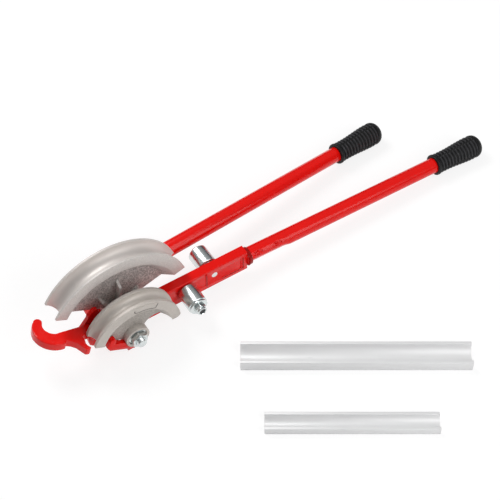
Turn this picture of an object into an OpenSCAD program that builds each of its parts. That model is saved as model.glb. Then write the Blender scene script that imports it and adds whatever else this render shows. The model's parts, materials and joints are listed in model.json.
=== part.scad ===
// Manual tube bender for two pipe sizes: two half-moon formers on one pivot, a fixed
// handle, a lever with two rollers, a hook that holds the pipe, and two loose guides.
// The tool lies on a bench: z = 0 is the bench, x runs towards the grips, and the
// small former is on the front side (-y).

/* [Pipes and formers] */
// Outside diameter of the large pipe
pipe_22 = 22; // [18:1:25]
// Outside diameter of the small pipe
pipe_15 = 15; // [12:1:18]
// Bend radius of the large former, to the pipe's centre line
bend_r_22 = 92; // [84:1:110]
// Bend radius of the small former, to the pipe's centre line
bend_r_15 = 57.3; // [54:0.1:66]
// Gap between a pipe and its groove
groove_gap = 0.2; // [0.1:0.05:0.4]
// Flange beside the large groove
flange_22 = 3.05; // [2.5:0.05:5]
// Flange beside the small groove
flange_15 = 3.9; // [3:0.1:6]
// Metal under the large groove
rim_wall_22 = 4; // [3:0.1:6]
// Metal under the small groove
rim_wall_15 = 5.1; // [3:0.1:6]
// Thickness of the large former's web
web_22 = 5; // [4:0.5:8]
// Thickness of the small former's web
web_15 = 6; // [4:0.5:8]
// Radius of the large former's hub
hub_r_22 = 17; // [15:0.5:20]
// Radius of the small former's hub
hub_r_15 = 15; // [14:0.5:17]
// Thickness of the ribs on the large former's web
rib_t = 3; // [2:0.5:4]

/* [Pivot] */
// Height of the pivot above the bench
pivot_h = 26.1; // [24:0.1:30]
// Diameter of the pivot bolt
bolt_d = 12; // [10:1:14]
// Width across the flats of the pivot nut and bolt head
bolt_flats = 18; // [17:1:21]
// Height of the pivot nut
nut_h = 8; // [6:0.5:11]
// Height of the pivot bolt's head
head_h = 7.5; // [6:0.5:9]
// Length of the bolt that stands past the nut
bolt_proud = 5; // [2:0.5:8]
// Thickness of the plain washers
washer_t = 2; // [1.5:0.5:3]
// Thickness of the two thrust washers beside the lever
thrust_t = 1.5; // [1:0.25:2.5]
// Outside radius of the bush in the lever
bush_r = 9; // [8.5:0.5:11]
// Radial gap between a turning piece and its pin
running_gap = 0.06; // [0.03:0.01:0.09]
// Gap on each side of a turning piece
side_gap = 0.2; // [0.15:0.05:0.5]

/* [Lever] */
// Width of the pressed channel
channel_w = 13; // [12:0.5:16]
// Wall of the pressed channel
channel_wall = 2.5; // [2:0.25:3.5]
// Length of the channel from the pivot
channel_l = 165.5; // [155:0.5:190]
// Height of the channel's top above the pivot
channel_top = 17.4; // [16.5:0.1:20]
// Depth of the channel's lower edge below the pivot
channel_low = 13.6; // [12:0.1:16]
// Radius of the eye at the pivot
eye_r = 15.5; // [14:0.5:16.5]
// Outside diameter of both handle tubes
tube_d = 20; // [18:0.5:22]
// Wall of both handle tubes
tube_wall = 2.5; // [2:0.25:3.5]
// Height of the lever tube's root above the pivot
tube_up = 1.4; // [0:0.1:4]
// Reach of the lever from the pivot to the widest part of its grip
lever_reach = 515; // [460:5:620]

/* [Fixed handle] */
// Thickness of the plate that joins the fixed handle to the pivot
plate_t = 6; // [5:0.5:8]
// Distance from the pivot to the root of the fixed tube
fixed_root = 60; // [55:1:70]
// Height of the fixed tube's root above the pivot
fixed_up = 17.3; // [15:0.1:20]
// Reach of the fixed handle from the pivot to the widest part of its grip
fixed_reach = 418.5; // [380:5:500]
// Angle by which the fixed handle splays to the rear
splay = 6.7; // [4:0.1:8]
// How far the fixed tube is let into the plate
tube_seat = 5.5; // [4:0.25:6]
// Reach of the handle plate from the pivot
plate_reach = 84; // [76:1:92]

/* [Grips] */
// Length of a grip
grip_l = 75.5; // [74:0.5:90]
// Largest radius of a grip
grip_r = 15.5; // [14:0.25:18]
// Radius of a grip's waist
grip_waist = 13; // [12.5:0.25:14]
// Radius of the lip at a grip's mouth
grip_lip = 13.9; // [13.5:0.1:16]

/* [Rollers] */
// Radius of both rollers
roller_r = 12.5; // [11:0.5:14]
// Length of both rollers
roller_l = 25.4; // [22:0.2:28]
// Diameter of the roller axles
axle_d = 8; // [6:1:10]
// Height of the small roller's axis above the pivot
roller_up_15 = 4.4; // [0:0.1:6]
// Height of the large roller's axis above the pivot
roller_up_22 = 5.9; // [0:0.1:7]

/* [Hook and bracket] */
// Distance of the hook's pin along the line of the formers' left ends
pin_u = 40; // [38:0.5:44]
// Distance of the hook's pin below that line
pin_v = 17.5; // [16:0.5:20]
// Diameter of the hook's pin
pin_d = 8; // [6:1:9]
// Thickness of the hook
hook_t = 11; // [9:0.5:13]
// Thickness of the clevis cheeks
cheek_t = 5.2; // [4:0.2:7]
// Angle of the hook's arm at rest, from the +x direction
hook_angle = 163; // [158:1:168]

/* [Pipe guides] */
// Length of the large guide
guide_l_22 = 268; // [200:1:320]
// Length of the small guide
guide_l_15 = 196; // [150:1:260]
// Wall under the large guide's groove
guide_wall_22 = 4.1; // [3:0.1:6]
// Wall under the small guide's groove
guide_wall_15 = 2.7; // [2:0.1:4]
// Wall beside the guides' grooves
guide_side = 3.9; // [2.5:0.1:5]
// Angle at which the loose guides lie on the bench
guide_turn = -32.9; // [-45:0.1:-20]

/* [Hidden] */
$fn = 96;
RED = "#d0140f";
CAST = "#b9b3ad";
ZINC = "#c9ced4";
RUBBER = "#1d1d1d";
ALLOY = "#cfd2d6";

// Depths, counted from the lever's middle plane: front is positive, rear is negative
groove_r_22 = pipe_22 / 2 + groove_gap;
groove_r_15 = pipe_15 / 2 + groove_gap;
inner = channel_w / 2 + side_gap + thrust_t;
depth_22 = 2 * (groove_r_22 + flange_22);
depth_15 = 2 * (groove_r_15 + flange_15);
rear_22 = -inner - depth_22;
front_15 = inner + depth_15;
mid_22 = -inner - depth_22 / 2;
mid_15 = inner + depth_15 / 2;
plate_rear = rear_22 - plate_t;

// Formers
rim_in_22 = bend_r_22 - groove_r_22 - rim_wall_22;
rim_in_15 = bend_r_15 - groove_r_15 - rim_wall_15;
end_22 = [17, 149.5];
draft_22 = 11.8;
draft_15 = 7.5;
cut_15 = 9;
ribs = [[34, 38], [84, 50], [121, 42]];
seat_depth = 3.5;
end_round = 5.5;
scallop_at = [28.5, -3.5];
scallop_r = 18;
panel_proud = 0.5;
panel_edge = 2.6;
panel_ends = [58, 90];

// The line of the formers' left ends: u runs outwards along it, v runs down from it
end_tilt = 150;
function at_uv(u, v) = [u * cos(end_tilt) - v * sin(end_tilt), u * sin(end_tilt) + v * cos(end_tilt)];

// Bracket and hook
hook_w = channel_w;
leg_v = [9, 19.5];
block_u = [16, 27];
block_v = [12, 21];
cheek_in = hook_w / 2 + 0.35;
cheek_out = cheek_in + cheek_t;
cheek_r = 8.5;
pin_at = at_uv(pin_u, pin_v);
arm_rise = 4.9;
claw_in = groove_r_22 + 1.3;
claw_at = [41.5, -hook_w / 2 - claw_in + 0.3];
foot_x = [-11.5, 0.5];
foot_h = 5;

// Rollers, each clear of its pipe by the wall of its guide
reach_15 = bend_r_15 + pipe_15 / 2 + guide_wall_15 + roller_r;
reach_22 = bend_r_22 + pipe_22 / 2 + guide_wall_22 + roller_r;
roller_at_15 = [sqrt(reach_15 * reach_15 - roller_up_15 * roller_up_15), roller_up_15];
roller_at_22 = [sqrt(reach_22 * reach_22 - roller_up_22 * roller_up_22), roller_up_22];
roller_in = channel_w / 2 + thrust_t + side_gap;
roller_out = roller_in + roller_l;
thrust_r = 14;
inner_washer_r = 9;
outer_washer_r = 9.5;
lock_washer_r = 11.3;
lock_flats = 13;
lock_h = 8;

// Handles: both slope down until the widest part of the grip touches the bench
droop = atan((pivot_h + tube_up - grip_r) / (lever_reach - channel_l));
tube_len = (lever_reach - channel_l) / cos(droop);
grip_widest = 60;
fixed_y = -plate_rear + tube_d / 2 - tube_seat;
fixed_run = (fixed_reach - fixed_root) / cos(splay);
fixed_fall = atan((pivot_h + fixed_up - grip_r) / fixed_run);
fixed_len = fixed_run / cos(fixed_fall);

// ---- helpers ----

// Draws in the bending plane seen from the front: x right, y up from the pivot, z to the front
module face() {
    translate([0, 0, pivot_h]) rotate([90, 0, 0]) children();
}

// A slab of an outline between two depths
module slab(near, far) {
    translate([0, 0, near]) linear_extrude(far - near) children();
}

// A ring or disc between two depths, at a point of the bending plane
module ring(at, near, far, r, hole = 0) {
    translate([at[0], at[1], near]) difference() {
        cylinder(r = r, h = far - near);
        if (hole > 0) translate([0, 0, -1]) cylinder(r = hole, h = far - near + 2);
    }
}

// A hexagonal prism between two depths
module hexagon(at, near, far, flats) {
    translate([at[0], at[1], near]) cylinder(r = flats / sqrt(3), h = far - near, $fn = 6);
}

// A cut-away half plane: everything further than v below the end line
module below_end(v) {
    polygon([at_uv(-200, v), at_uv(300, v), at_uv(300, v + 300), at_uv(-200, v + 300)]);
}

// Runs children along a handle tube's axis, which starts at the tube's root
module along_lever() {
    face() translate([channel_l, tube_up, 0]) rotate([0, 0, -droop]) rotate([0, 90, 0]) children();
}

module along_fixed() {
    translate([fixed_root, fixed_y, pivot_h + fixed_up])
        rotate([0, 0, splay]) rotate([0, 90 + fixed_fall, 0]) children();
}

module tube(length) {
    difference() {
        cylinder(d = tube_d, h = length);
        translate([0, 0, -1]) cylinder(d = tube_d - 2 * tube_wall, h = length + 2);
    }
}

// ---- formers ----

// Section of a former in radius and depth: web, drafted inner wall and grooved rim
module former_section(bend_r, groove_r, rim_in, near, far, web, draft) {
    mid = (near + far) / 2;
    web_in = 10;
    difference() {
        polygon([[web_in, mid - web / 2], [rim_in - draft, mid - web / 2], [rim_in, near],
            [bend_r, near], [bend_r, far], [rim_in, far],
            [rim_in - draft, mid + web / 2], [web_in, mid + web / 2]]);
        translate([bend_r, mid]) circle(r = groove_r);
    }
}

module former_22() {
    color(CAST) face() difference() {
        union() {
            rotate_extrude(angle = end_22[1] - end_22[0], start = end_22[0])
                former_section(bend_r_22, groove_r_22, rim_in_22, rear_22, -inner, web_22, draft_22);
            ring([0, 0], rear_22, -inner, hub_r_22);
            for (rib = ribs) former_rib(rib[0], rib[1]);
        }
        ring([0, 0], rear_22 - 1, -inner + 1, bolt_d / 2 + 0.1);
    }
}

// One radial rib, standing on both sides of the web and sloping off at its outer end
module former_rib(a, tip) {
    root = hub_r_22 - 2;
    proud = depth_22 / 2 - web_22 / 2 - 2.5;
    rotate([0, 0, a]) rotate([90, 0, 0]) translate([0, 0, -rib_t / 2]) linear_extrude(rib_t)
        polygon([[root, mid_22 - proud - web_22 / 2], [tip - 6, mid_22 - proud - web_22 / 2],
            [tip, mid_22], [tip - 6, mid_22 + proud + web_22 / 2],
            [root, mid_22 + proud + web_22 / 2]]);
}

module former_15() {
    color(CAST) face() difference() {
        union() {
            rotate_extrude(angle = 205, start = -5)
                former_section(bend_r_15, groove_r_15, rim_in_15, inner, front_15, web_15, draft_15);
            ring([0, 0], inner, front_15, hub_r_15);
            former_15_panel();
        }
        slab(inner - 1, front_15 + 1) former_15_waste();
        ring([0, 0], inner - 1, front_15 + 1, bolt_d / 2 + 0.1);
        ring([0, 0], front_15 - seat_depth, front_15 + 1, bolt_flats / sqrt(3) + 1.4);
    }
}

// The bare raised panel on the small former's front flange
module former_15_panel() {
    translate([0, 0, front_15 - 1])
        rotate_extrude(angle = panel_ends[1] - panel_ends[0], start = panel_ends[0])
        translate([rim_in_15 + panel_edge, 0])
            square([bend_r_15 - rim_in_15 - 2 * panel_edge, 1 + panel_proud]);
}

// What is cut from the small former's full ring: its left end and its scalloped right end
module former_15_waste() {
    difference() {
        union() {
            below_end(cut_15);
            polygon([[hub_r_15 - 4, -90], [90, -90], [90, 0], [hub_r_15 - 4, 0]]);
            translate(scallop_at) circle(r = scallop_r);
            difference() {
                translate([bend_r_15 - end_round, -1]) square([end_round + 1, end_round]);
                translate([bend_r_15 - end_round, end_round]) circle(r = end_round);
            }
            polygon([[-40, -90], [30, -90], [30, -10], at_uv(0, cut_15)]);
        }
        circle(r = hub_r_15);
    }
}

// ---- bracket and fixed handle ----

// Outline of a clevis cheek round the hook's pin, kept below the end of its former
module cheek_outline(v_top, reach) {
    difference() {
        union() {
            translate(pin_at) circle(r = cheek_r);
            polygon([at_uv(reach + 3, v_top - 4), at_uv(24, v_top - 4), at_uv(17, block_v[0]),
                at_uv(17, block_v[1]), at_uv(36, block_v[1] + 4), at_uv(46, block_v[1] + 3.5),
                at_uv(51, pin_v)]);
        }
        polygon([at_uv(-20, v_top), at_uv(100, v_top), at_uv(100, v_top - 40), at_uv(-20, v_top - 40)]);
    }
}

// Block that runs across under both formers
module block_outline() {
    polygon([at_uv(block_u[0], block_v[0]), at_uv(block_u[1], block_v[0]),
        at_uv(block_u[1], block_v[1]), at_uv(block_u[0], block_v[1])]);
}

// Outline of a leg from the block down to the foot
module leg_outline() {
    block_outline();
    polygon([at_uv(block_u[0], block_v[0]), [foot_x[1], -pivot_h + foot_h], [foot_x[1], -pivot_h],
        [foot_x[0], -pivot_h], at_uv(block_u[1], block_v[1]), at_uv(block_u[1], block_v[0])]);
}

module stop_bracket() {
    web_front = mid_15 + web_15 / 2 + 0.4;
    leg_front = web_front + 6;
    lug_u = 35.5;
    color(RED) face() difference() {
        union() {
            // front bar with the lug that holds the small former's web
            slab(web_front, leg_front) polygon([at_uv(lug_u, 3), at_uv(lug_u - 4, 0.5),
                at_uv(lug_u - 7, 3), at_uv(lug_u - 8, leg_v[0]), at_uv(6, leg_v[0]), [-2.8, -18],
                [-5, -20], at_uv(30, leg_v[1]), at_uv(lug_u, leg_v[1] - 4)]);
            slab(rear_22, web_front + 2) block_outline();
            // rear leg beside the handle plate
            slab(rear_22, rear_22 + 7) leg_outline();
            // clevis cheeks
            slab(cheek_in, cheek_out) cheek_outline(cut_15 + 0.4, 54);
            slab(-cheek_out, -cheek_in) cheek_outline(0.4, pin_u + 4);
            // ear on the rear cheek that locates the large former
            slab(-cheek_out, -cheek_in) polygon([at_uv(36, 6), at_uv(36, -9), at_uv(41, -13),
                at_uv(45.5, -12), at_uv(49, -2), at_uv(46, 13)]);
            // foot under the pivot, and the riser that joins it to the front bar
            slab(rear_22, web_front + 1.6) translate([foot_x[0], -pivot_h])
                square([foot_x[1] - foot_x[0], foot_h]);
            slab(web_front - 5, web_front + 1.6) translate([foot_x[0], -pivot_h]) square([6, 14]);
        }
        ring(pin_at, -cheek_out - 1, cheek_out + 1, pin_d / 2);
        ring([0, 0], inner, front_15, hub_r_15 + 0.3);
        ring([0, 0], rear_22 - 1, -inner, hub_r_22 + 0.3);
    }
}

module handle_plate() {
    color(RED) face() difference() {
        union() {
            ring([0, 0], plate_rear, rear_22, hub_r_22);
            slab(plate_rear, rear_22) polygon([[0, hub_r_22 - 0.5], [fixed_root, fixed_up + 10],
                [plate_reach, fixed_up + 7], [plate_reach, fixed_up - 10],
                [fixed_root, fixed_up - 12], [0, 0.5 - hub_r_22]]);
            slab(plate_rear, rear_22) polygon([[0, 0], at_uv(block_u[0], 0),
                at_uv(block_u[1], block_v[0]), at_uv(block_u[1], block_v[1]),
                [foot_x[0], -pivot_h], [foot_x[1], -pivot_h]]);
        }
        ring([0, 0], plate_rear - 1, rear_22 + 1, bolt_d / 2 + 0.1);
    }
}

module fixed_handle_tube() {
    color(RED) difference() {
        along_fixed() tube(fixed_len + grip_l - grip_widest - 6);
        // let into the rear of the handle plate
        translate([0, 0, pivot_h - 60]) cube([plate_reach + 0.4, -plate_rear, 160]);
    }
}

module fixed_handle_grip() {
    color(RUBBER) along_fixed() translate([0, 0, fixed_len - grip_widest]) grip();
}

// A rubber grip: lip, waist, widest part and rounded end, on the tube's end
module grip() {
    rotate_extrude() polygon([[tube_d / 2, 0], [grip_lip, 0], [grip_lip, 4], [grip_waist, 5.5],
        [grip_waist, 0.25 * grip_l], [grip_r - 0.6, grip_widest - 10], [grip_r, grip_widest - 2],
        [grip_r, grip_widest + 2], [grip_r - 0.8, grip_widest + 8], [grip_r - 3, grip_l - 5],
        [grip_r - 7, grip_l - 1], [0, grip_l], [0, grip_l - 6], [tube_d / 2, grip_l - 6]]);
}

// ---- pivot ----

module pivot_bolt() {
    seat = plate_rear - washer_t;
    tip = front_15 - seat_depth + washer_t + nut_h + bolt_proud;
    color(ZINC) face() {
        ring([0, 0], seat, tip - 1.2, bolt_d / 2);
        translate([0, 0, tip - 1.2]) cylinder(r1 = bolt_d / 2, r2 = bolt_d / 2 - 1.2, h = 1.2);
        hexagon([0, 0], seat - head_h, seat, bolt_flats);
    }
}

module pivot_nut() {
    seat = front_15 - seat_depth + washer_t;
    color(ZINC) face() difference() {
        hexagon([0, 0], seat, seat + nut_h, bolt_flats);
        ring([0, 0], seat - 1, seat + nut_h + 1, bolt_d / 2);
    }
}

module pivot_washer_front() {
    seat = front_15 - seat_depth;
    color(ZINC) face() ring([0, 0], seat, seat + washer_t, bolt_flats / sqrt(3) + 1, bolt_d / 2);
}

module pivot_washer_rear() {
    color(ZINC) face() ring([0, 0], plate_rear - washer_t, plate_rear, bolt_d, bolt_d / 2);
}

module thrust_washer_front() {
    color(ZINC) face() ring([0, 0], inner - thrust_t, inner, thrust_r, bolt_d / 2);
}

module thrust_washer_rear() {
    color(ZINC) face() ring([0, 0], -inner, -inner + thrust_t, thrust_r, bolt_d / 2);
}

module pivot_bush() {
    color("#a98a4a") face()
        ring([0, 0], -channel_w / 2, channel_w / 2, bush_r, bolt_d / 2 + running_gap);
}

// ---- lever ----

// The channel before it is hollowed: an eye that widens into a straight bar
module channel_blank(half) {
    ring([0, 0], -half, half, eye_r);
    slab(-half, half) polygon([[0, eye_r - 0.5], [22, channel_top], [channel_l, channel_top],
        [channel_l, -channel_low], [8, -channel_low], [0, 0.5 - eye_r]]);
}

// Cross-section of the channel with its rounded upper edges, lying along x
module channel_section() {
    r = 1.5;
    half = channel_w / 2;
    translate([-20, 0, 0]) rotate([90, 0, 90]) linear_extrude(channel_l + 20) union() {
        polygon([[-half, -20], [half, -20], [half, channel_top - r], [-half, channel_top - r]]);
        polygon([[-half + r, 0], [half - r, 0], [half - r, channel_top], [-half + r, channel_top]]);
        for (side = [-1, 1]) translate([side * (half - r), channel_top - r]) circle(r = r);
    }
}

module lever_channel() {
    press = 0.6;
    side = channel_w / 2;
    color(RED) face() difference() {
        intersection() {
            channel_blank(side);
            rotate([-90, 0, 0]) channel_section();
        }
        // open underside
        slab(-side + channel_wall, side - channel_wall) polygon([[-30, -40], [channel_l - 3, -40],
            [channel_l - 3, channel_top - channel_wall], [-30, channel_top - channel_wall]]);
        ring([0, 0], -side - 1, side + 1, bush_r);
        ring(roller_at_15, -side - 1, side + 1, axle_d / 2);
        ring(roller_at_22, -side - 1, side + 1, axle_d / 2);
        // pressed lines on the front
        slab(side - press, side + 1) polygon([[107, -6], [108.2, -6], [108.2, 15], [107, 15]]);
        slab(side - press, side + 1) polygon([[155, -6], [156, -6], [156, 12], [155, 12]]);
    }
}

// Weld collar where the lever's tube meets the channel
module lever_collar() {
    color("#7d1512") along_lever() difference() {
        translate([0, 0, 1]) cylinder(r1 = tube_d / 2 + 2, r2 = tube_d / 2 + 0.8, h = 4.5);
        cylinder(d = tube_d, h = 12);
    }
}

module lever_tube() {
    crimps = [10, 19, 33, 42, 51];
    color(RED) difference() {
        along_lever() tube(tube_len + grip_l - grip_widest - 6);
        // the root is cut flush with the channel's end
        face() slab(-40, 40) polygon([[channel_l - 30, -40], [channel_l, -40], [channel_l, 40],
            [channel_l - 30, 40]]);
        // crimps pressed into the lower front
        along_lever() for (s = crimps) rotate([0, 0, 55]) translate([0, tube_d / 2 + 8.4, s])
            rotate([0, 90, 0]) cylinder(r = 10, h = 40, center = true);
    }
}

module lever_grip() {
    color(RUBBER) along_lever() translate([0, 0, tube_len - grip_widest]) grip();
}

// ---- rollers ----

// side is 1 for the front roller and -1 for the rear one
module roller(at, side) {
    near = side > 0 ? roller_in : -roller_out;
    color(ZINC) face() difference() {
        ring(at, near, near + roller_l, roller_r, axle_d / 2 + running_gap);
        for (z = [near, near + roller_l]) translate([at[0], at[1], z]) rotate_extrude()
            polygon([[roller_r + 1, 0.8 * (z > near ? -1 : 1)], [roller_r, 0.8 * (z > near ? -1 : 1)],
                [roller_r - 0.8, 0], [roller_r - 0.8, (z > near ? 1 : -1)],
                [roller_r + 1, (z > near ? 1 : -1)]]);
    }
}

// A washer between the channel and a roller
module inner_washer(at, side) {
    near = side > 0 ? channel_w / 2 : -channel_w / 2 - thrust_t;
    color(ZINC) face() ring(at, near, near + thrust_t, inner_washer_r, axle_d / 2);
}

// A washer outside a roller
module outer_washer(at, side, r, t) {
    out = roller_out + side_gap;
    near = side > 0 ? out : -out - t;
    color(ZINC) face() ring(at, near, near + t, r, axle_d / 2);
}

module roller_22() { roller(roller_at_22, -1); }
module roller_22_inner_washer() { inner_washer(roller_at_22, -1); }
module roller_22_outer_washer() { outer_washer(roller_at_22, -1, outer_washer_r, thrust_t); }
module roller_15() { roller(roller_at_15, 1); }
module roller_15_inner_washer() { inner_washer(roller_at_15, 1); }
module roller_15_outer_washer() { outer_washer(roller_at_15, 1, lock_washer_r, washer_t); }

// A headed pin, its plain end flush with the front of the channel
module roller_22_axle() {
    seat = -roller_out - side_gap - thrust_t;
    color(ZINC) face() {
        ring(roller_at_22, seat, channel_w / 2, axle_d / 2);
        ring(roller_at_22, seat - 2.5, seat, 6);
    }
}

// A stud, its plain end flush with the rear of the channel
module roller_15_axle() {
    color(ZINC) face()
        ring(roller_at_15, -channel_w / 2, roller_out + side_gap + washer_t + lock_h - 1.5, axle_d / 2);
}

// Lock nut: a hexagon with a round collar
module roller_15_nut() {
    near = roller_out + side_gap + washer_t;
    hex_h = 0.65 * lock_h;
    color(ZINC) face() difference() {
        union() {
            hexagon(roller_at_15, near, near + hex_h, lock_flats);
            ring(roller_at_15, near + hex_h, near + lock_h, lock_flats / 2 - 0.5);
        }
        ring(roller_at_15, near - 1, near + lock_h + 1, axle_d / 2);
    }
}

// ---- hook ----

// Large claw, seen from above the arm's flat: x runs along the arm from the pin, y to the
// front. A thick arc round the rear pipe ends in a rounded tip.
module large_claw() {
    claw_out = claw_in + 12.5;
    tip_r = 5.2;
    difference() {
        union() {
            intersection() {
                translate(claw_at + [1.5, 4.5]) circle(r = claw_out);
                polygon([[claw_at[0] - 4, claw_at[1] + 4], [claw_at[0] - 4, 0], [claw_at[0], 20],
                    [80, 20], [80, claw_at[1] - 20], claw_at + [13, -9], claw_at + [4, 0]]);
            }
            translate(claw_at + [14.3, -10.6]) circle(r = tip_r);
        }
        translate(claw_at) circle(r = claw_in);
    }
}

// Small claw: a prong to the front, hollow on the side that meets the front pipe
module small_claw() {
    difference() {
        polygon([[18, -2], [18, 20], [16.2, 26.5], [19, 28], [23, 27], [25.5, 21], [28.5, 14.5],
            [33, 10], [37, 8], [44, 5.5], [44, -2]]);
        translate([11.5, 19.5]) circle(r = groove_r_15);
    }
}

module stop_hook() {
    low = -arm_rise - hook_t / 2;
    color(RED) face() translate([pin_at[0], pin_at[1], 0]) difference() {
        union() {
            slab(-hook_w / 2, hook_w / 2) {
                circle(r = cheek_r);
                rotate([0, 0, hook_angle]) translate([2, low]) square([claw_at[0] - 1, hook_t]);
            }
            rotate([0, 0, hook_angle]) translate([0, low + 0.1, 0]) rotate([-90, 0, 0])
                mirror([0, 1, 0]) linear_extrude(hook_t - 0.2) {
                    large_claw();
                    small_claw();
                }
        }
        ring([0, 0], -hook_w, hook_w, pin_d / 2 + running_gap);
    }
}

module hook_pin() {
    color(RED) face() {
        ring(pin_at, -cheek_out, cheek_out, pin_d / 2);
        ring(pin_at, -cheek_out - 1.5, -cheek_out, pin_d / 2 + 2);
    }
}

// ---- loose pipe guides ----

// A straight extrusion with a half-round groove on top, lying on the bench
module guide(at, length, pipe, wall) {
    r = pipe / 2 + 0.1;
    w = 2 * (r + guide_side);
    color(ALLOY) translate([at[0], at[1], 0]) rotate([0, 0, guide_turn])
        translate([-length / 2, 0, 0]) rotate([90, 0, 90]) linear_extrude(length) difference() {
            translate([-w / 2, 0]) square([w, r + wall]);
            translate([0, r + wall]) circle(r = r);
        }
}

module guide_22() { guide([204, -179], guide_l_22, pipe_22, guide_wall_22); }
module guide_15() { guide([149, -248], guide_l_15, pipe_15, guide_wall_15); }

former_22();
former_15();
stop_bracket();
handle_plate();
fixed_handle_tube();
fixed_handle_grip();
pivot_bolt();
pivot_nut();
pivot_washer_front();
pivot_washer_rear();
thrust_washer_front();
thrust_washer_rear();
pivot_bush();
lever_channel();
lever_collar();
lever_tube();
lever_grip();
roller_22();
roller_22_axle();
roller_22_inner_washer();
roller_22_outer_washer();
roller_15();
roller_15_axle();
roller_15_inner_washer();
roller_15_outer_washer();
roller_15_nut();
stop_hook();
hook_pin();
guide_22();
guide_15();
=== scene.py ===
"""Looks of the manual tube bender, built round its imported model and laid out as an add-on."""

import json
import math

import bmesh
import bpy
import numpy as np
from bpy.props import FloatProperty, FloatVectorProperty, IntProperty, PointerProperty
from mathutils import Matrix, Vector


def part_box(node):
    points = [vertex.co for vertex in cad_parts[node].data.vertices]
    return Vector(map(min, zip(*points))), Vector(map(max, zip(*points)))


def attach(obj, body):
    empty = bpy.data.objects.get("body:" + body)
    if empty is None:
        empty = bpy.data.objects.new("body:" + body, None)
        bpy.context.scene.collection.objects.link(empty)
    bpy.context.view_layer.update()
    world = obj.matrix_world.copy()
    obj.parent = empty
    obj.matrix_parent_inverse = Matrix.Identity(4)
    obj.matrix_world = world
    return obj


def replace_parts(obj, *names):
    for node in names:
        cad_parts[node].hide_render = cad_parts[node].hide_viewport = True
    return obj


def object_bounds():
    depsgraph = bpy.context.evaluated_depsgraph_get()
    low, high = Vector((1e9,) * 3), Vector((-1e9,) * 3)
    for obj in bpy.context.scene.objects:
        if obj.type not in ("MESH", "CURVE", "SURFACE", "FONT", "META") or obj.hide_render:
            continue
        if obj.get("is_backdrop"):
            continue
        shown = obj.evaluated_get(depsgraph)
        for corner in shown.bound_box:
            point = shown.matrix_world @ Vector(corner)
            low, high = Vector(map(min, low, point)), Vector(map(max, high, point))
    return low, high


bl_info = {
    "name": "Tube Bender Looks",
    "version": (1, 0, 0),
    "blender": (4, 5, 0),
    "location": "3D View > Sidebar > Tube Bender",
    "description": "Finishes the tube bender's formers, lever, grips, hook, rollers and guides",
    "category": "Object",
}

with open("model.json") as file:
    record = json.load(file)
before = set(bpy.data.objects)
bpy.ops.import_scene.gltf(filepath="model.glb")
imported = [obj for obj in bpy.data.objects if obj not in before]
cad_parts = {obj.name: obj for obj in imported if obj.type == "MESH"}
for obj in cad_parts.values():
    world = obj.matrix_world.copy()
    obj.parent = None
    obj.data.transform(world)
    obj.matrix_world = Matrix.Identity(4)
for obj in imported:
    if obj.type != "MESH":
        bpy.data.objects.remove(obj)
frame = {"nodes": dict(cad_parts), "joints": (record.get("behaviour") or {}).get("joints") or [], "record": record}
CAD_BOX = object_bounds()
BODY_OF = {n: b for b, members in frame["record"]["behaviour"]["bodies"].items() for n in members}
JOINTS = {j["name"]: j for j in frame["joints"]}
PIVOT = Vector(JOINTS["lever_pivot"]["pos_m"])
MM = 0.001
BLACK = (0.0, 0.0, 0.0, 1.0)
WHITE = (1.0, 1.0, 1.0, 1.0)
TUBE_RADIUS = 10.0 * MM
# Shares of a grip's length, from its mouth: end of the waist, start of the bulge and of the tail.
WAIST_END, BULGE_START, TAIL_START = 0.22, 0.76, 0.84


# ---------------------------------------------------------------- node expressions


class Sock:
    """A node socket that takes part in Python expressions: each operator adds a Math node."""

    def __init__(self, graph, socket):
        self.graph, self.socket = graph, socket

    def __add__(self, other):
        return self.graph.math("ADD", self, other)

    def __sub__(self, other):
        return self.graph.math("SUBTRACT", self, other)

    def __mul__(self, other):
        return self.graph.math("MULTIPLY", self, other)

    def __rsub__(self, other):
        return self.graph.math("SUBTRACT", other, self)

    __radd__, __rmul__ = __add__, __mul__


class Graph:
    """A node tree that is written as expressions."""

    def __init__(self, tree):
        self.tree = tree

    def put(self, socket, value):
        if isinstance(value, Sock):
            self.tree.links.new(value.socket, socket)
        else:
            socket.default_value = value

    def add(self, kind, settings=None, values=None, out=0):
        """Adds a node: its settings first, then the values or links of its sockets."""
        node = self.tree.nodes.new(kind)
        for key, value in (settings or {}).items():
            if key == "stops":
                ramp = node.color_ramp.elements
                while len(ramp) < len(value):
                    ramp.new(0.5)
                for element, (position, colour) in zip(ramp, value):
                    element.position, element.color = position, colour
            else:
                setattr(node, key, value)
        pairs = values.items() if isinstance(values, dict) else enumerate(values or ())
        for key, value in pairs:
            self.put(node.inputs[key], value)
        return Sock(self, node.outputs[out]) if len(node.outputs) else None

    def math(self, operation, *values):
        return self.add("ShaderNodeMath", {"operation": operation}, values)

    def step(self, value, low, high):
        """0 below low and 1 above high, turning smoothly between them."""
        settings = {"interpolation_type": "SMOOTHSTEP"}
        return self.add("ShaderNodeMapRange", settings, [value, low, high, 0.0, 1.0])

    def blend(self, factor, a, b):
        """A colour between a and b."""
        node = self.tree.nodes.new("ShaderNodeMix")
        node.data_type = "RGBA"
        for index, value in ((0, factor), (6, a), (7, b)):
            self.put(node.inputs[index], value)
        return Sock(self, node.outputs[2])

    def parts(self, vector):
        """The x, y and z of a vector socket."""
        node = self.tree.nodes.new("ShaderNodeSeparateXYZ")
        self.put(node.inputs[0], vector)
        return [Sock(self, output) for output in node.outputs]

    def vector(self, x, y, z):
        return self.add("ShaderNodeCombineXYZ", None, [x, y, z])

    def noise(self, place, scale, detail, rough):
        return self.add("ShaderNodeTexNoise", None,
                        {"Vector": place, "Scale": scale, "Detail": detail, "Roughness": rough})


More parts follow.
